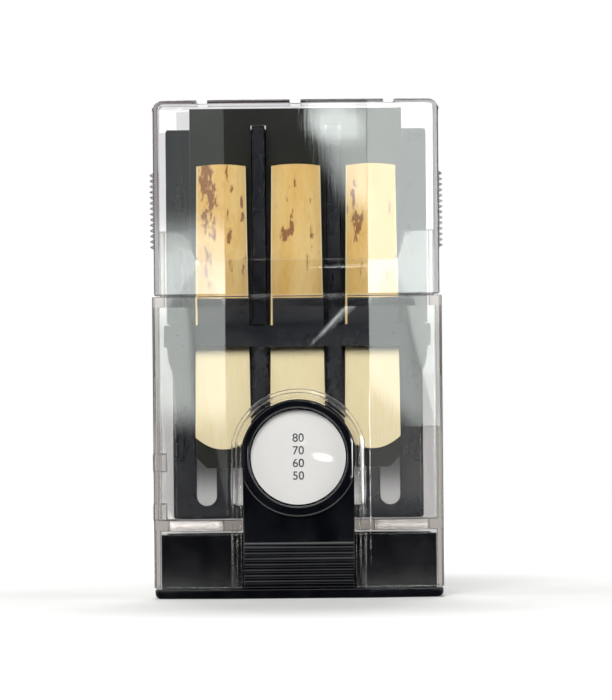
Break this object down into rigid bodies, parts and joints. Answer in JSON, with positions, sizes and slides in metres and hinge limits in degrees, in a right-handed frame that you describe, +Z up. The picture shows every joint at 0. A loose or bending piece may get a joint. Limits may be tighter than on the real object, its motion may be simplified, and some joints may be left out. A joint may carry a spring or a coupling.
{
  "type": "reed case",
  "caption": "Clear faceted reed case that stands on a black humidifier base with a round indicator, with a pull-off lid and clamped reeds on both sides of a black spine.",
  "frame": {"origin": "on the floor under the middle of the foot", "axes": "+Z up, towards the lid; +X to the right seen from the front; the front, with the round indicator, faces -Y"},
  "size_m": [0.069, 0.023, 0.117],
  "materials": {
    "black_plastic": "gloss black moulded plastic",
    "navy_black_plastic": "satin navy-black moulded plastic",
    "clear_plastic": "clear moulded plastic with a faint warm tint",
    "bed_grey": "matte dark grey sheet",
    "reed_cane": "cane, bark at the butt and cut vamp at the tip",
    "indicator_card": "off-white card",
    "sponge_foam": "open-cell foam"
  },
  "bodies": {
    "base": {"humidifier_tank": "black_plastic", "moisture_sponge": "sponge_foam", "tank_grille": "black_plastic", "front_tongue": "black_plastic", "indicator_bezel": "black_plastic", "indicator_disc": "indicator_card", "disc_lens": "clear_plastic"},
    "case_body": {"body_shell": "clear_plastic", "spine_plate": "navy_black_plastic", "front_reed_bed": "bed_grey", "rear_reed_bed": "bed_grey", "front_reed_clamp": "navy_black_plastic", "rear_reed_clamp": "navy_black_plastic"},
    "lid": {"lid_shell": "clear_plastic"},
    "reed_f1": {"front_reed_1": "reed_cane"},
    "reed_f2": {"front_reed_2": "reed_cane"},
    "reed_f3": {"front_reed_3": "reed_cane"},
    "reed_r1": {"rear_reed_1": "reed_cane"},
    "reed_r2": {"rear_reed_2": "reed_cane"},
    "reed_r3": {"rear_reed_3": "reed_cane"}
  },
  "joints": [
    {"name": "body_lift", "type": "slide", "parent": "base", "child": "case_body", "axis": [0, 0, 1], "range_m": [0, 0.05]},
    {"name": "lid_pull", "type": "slide", "parent": "case_body", "child": "lid", "axis": [0, 0, 1], "range_m": [0, 0.05]},
    {"name": "front_reed_1_pull", "type": "slide", "parent": "case_body", "child": "reed_f1", "axis": [0, 0, 1], "range_m": [0, 0.012]},
    {"name": "front_reed_2_pull", "type": "slide", "parent": "case_body", "child": "reed_f2", "axis": [0, 0, 1], "range_m": [0, 0.012]},
    {"name": "front_reed_3_pull", "type": "slide", "parent": "case_body", "child": "reed_f3", "axis": [0, 0, 1], "range_m": [0, 0.012]},
    {"name": "rear_reed_1_pull", "type": "slide", "parent": "case_body", "child": "reed_r1", "axis": [0, 0, 1], "range_m": [0, 0.012]},
    {"name": "rear_reed_2_pull", "type": "slide", "parent": "case_body", "child": "reed_r2", "axis": [0, 0, 1], "range_m": [0, 0.012]},
    {"name": "rear_reed_3_pull", "type": "slide", "parent": "case_body", "child": "reed_r3", "axis": [0, 0, 1], "range_m": [0, 0.012]}
  ]
}
